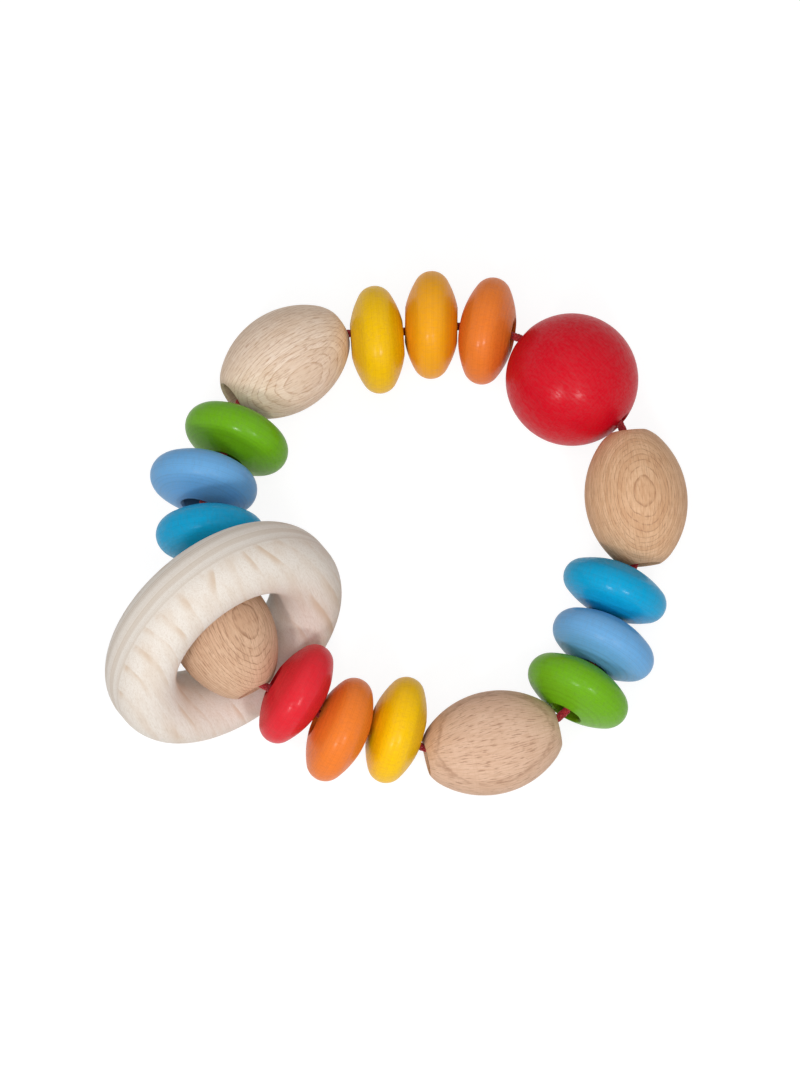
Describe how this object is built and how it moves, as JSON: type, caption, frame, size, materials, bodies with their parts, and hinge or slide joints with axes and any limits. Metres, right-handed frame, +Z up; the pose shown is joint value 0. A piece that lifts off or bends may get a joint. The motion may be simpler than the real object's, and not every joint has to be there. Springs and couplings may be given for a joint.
{
  "type": "wooden touch ring",
  "caption": "Loop of stained and bare wooden beads, round, lens-shaped and barrel-shaped, strung on an elastic cord, with a loose wooden ring hung round one bead; a grasping toy for babies.",
  "frame": {"origin": "on the table under the middle of the part's box", "axes": "+Z up from the table; +X to the right and -Y towards the viewer of the picture"},
  "size_m": [0.1088, 0.1024, 0.048],
  "materials": {
    "beech": "bare sanded beech with fine flecks",
    "maple": "bare sanded pale maple",
    "red_stain": "red stain under satin lacquer",
    "orange_stain": "orange stain under satin lacquer",
    "amber_stain": "amber stain under satin lacquer",
    "yellow_stain": "yellow stain under satin lacquer",
    "green_stain": "green stain under satin lacquer",
    "sky_stain": "sky blue stain under satin lacquer",
    "turquoise_stain": "turquoise stain under satin lacquer",
    "elastic": "red braided elastic cord"
  },
  "bodies": {
    "string": {"red_ball": "red_stain", "elastic_cord": "elastic", "cord_knot": "elastic"},
    "right_barrel_bead": {"right_barrel_bead": "beech"},
    "right_turquoise_disc": {"right_turquoise_disc": "turquoise_stain"},
    "right_sky_disc": {"right_sky_disc": "sky_stain"},
    "right_green_disc": {"right_green_disc": "green_stain"},
    "bottom_barrel_bead": {"bottom_barrel_bead": "beech"},
    "bottom_yellow_disc": {"bottom_yellow_disc": "yellow_stain"},
    "bottom_orange_disc": {"bottom_orange_disc": "orange_stain"},
    "bottom_red_disc": {"bottom_red_disc": "red_stain"},
    "ring_barrel_bead": {"ring_barrel_bead": "beech"},
    "left_turquoise_disc": {"left_turquoise_disc": "turquoise_stain"},
    "left_sky_disc": {"left_sky_disc": "sky_stain"},
    "left_green_disc": {"left_green_disc": "green_stain"},
    "left_barrel_bead": {"left_barrel_bead": "beech"},
    "top_yellow_disc": {"top_yellow_disc": "yellow_stain"},
    "top_amber_disc": {"top_amber_disc": "amber_stain"},
    "top_orange_disc": {"top_orange_disc": "orange_stain"},
    "wooden_ring": {"wooden_ring": "maple"}
  },
  "joints": [
    {"name": "right_barrel_bead_spin", "type": "hinge", "parent": "string", "child": "right_barrel_bead", "pos_m": [0.04467, 0.00615, 0.01149], "axis": [0.1062, -0.9724, -0.2079], "continuous": true},
    {"name": "right_turquoise_disc_spin", "type": "hinge", "parent": "string", "child": "right_turquoise_disc", "pos_m": [0.04062, -0.01164, 0.01013], "axis": [-0.385, -0.9124, -0.1392], "continuous": true},
    {"name": "right_sky_disc_spin", "type": "hinge", "parent": "string", "child": "right_sky_disc", "pos_m": [0.03839, -0.02227, 0.0102], "axis": [-0.4524, -0.8918, 0], "continuous": true},
    {"name": "right_green_disc_spin", "type": "hinge", "parent": "string", "child": "right_green_disc", "pos_m": [0.03361, -0.0313, 0.0102], "axis": [-0.4833, -0.8754, 0], "continuous": true},
    {"name": "bottom_barrel_bead_spin", "type": "hinge", "parent": "string", "child": "bottom_barrel_bead", "pos_m": [0.01755, -0.04132, 0.00965], "axis": [-0.9707, -0.2396, 0.0175], "continuous": true},
    {"name": "bottom_yellow_disc_spin", "type": "hinge", "parent": "string", "child": "bottom_yellow_disc", "pos_m": [-0.00037, -0.03937, 0.01152], "axis": [-0.9573, 0.243, 0.1564], "continuous": true},
    {"name": "bottom_orange_disc_spin", "type": "hinge", "parent": "string", "child": "bottom_orange_disc", "pos_m": [-0.01089, -0.04063, 0.01588], "axis": [-0.9103, 0.3359, 0.2419], "continuous": true},
    {"name": "bottom_red_disc_spin", "type": "hinge", "parent": "string", "child": "bottom_red_disc", "pos_m": [-0.01893, -0.03514, 0.02065], "axis": [-0.8545, 0.4596, 0.2419], "continuous": true},
    {"name": "ring_barrel_bead_spin", "type": "hinge", "parent": "string", "child": "ring_barrel_bead", "pos_m": [-0.03277, -0.02383, 0.02379], "axis": [-0.4717, 0.8609, 0.1908], "continuous": true},
    {"name": "left_turquoise_disc_spin", "type": "hinge", "parent": "string", "child": "left_turquoise_disc", "pos_m": [-0.03498, -0.00514, 0.02421], "axis": [-0.0136, 0.9998, -0.0175], "continuous": true},
    {"name": "left_sky_disc_spin", "type": "hinge", "parent": "string", "child": "left_sky_disc", "pos_m": [-0.03639, 0.0067, 0.01914], "axis": [0.21, 0.9738, -0.0872], "continuous": true},
    {"name": "left_green_disc_spin", "type": "hinge", "parent": "string", "child": "left_green_disc", "pos_m": [-0.03033, 0.01715, 0.01381], "axis": [0.3746, 0.9213, -0.1045], "continuous": true},
    {"name": "left_barrel_bead_spin", "type": "hinge", "parent": "string", "child": "left_barrel_bead", "pos_m": [-0.02133, 0.03332, 0.01108], "axis": [0.7953, 0.5999, -0.0872], "continuous": true},
    {"name": "top_yellow_disc_spin", "type": "hinge", "parent": "string", "child": "top_yellow_disc", "pos_m": [-0.00393, 0.03803, 0.0102], "axis": [0.9973, 0.0728, 0], "continuous": true},
    {"name": "top_amber_disc_spin", "type": "hinge", "parent": "string", "child": "top_amber_disc", "pos_m": [0.00625, 0.04097, 0.0102], "axis": [0.9999, -0.014, 0], "continuous": true},
    {"name": "top_orange_disc_spin", "type": "hinge", "parent": "string", "child": "top_orange_disc", "pos_m": [0.01681, 0.03953, 0.01088], "axis": [0.98, -0.1864, 0.0698], "continuous": true},
    {"name": "wooden_ring_spin", "type": "hinge", "parent": "string", "child": "wooden_ring", "pos_m": [-0.03244, -0.02429, 0.024], "axis": [-0.5583, 0.7764, -0.2924], "continuous": true}
  ]
}
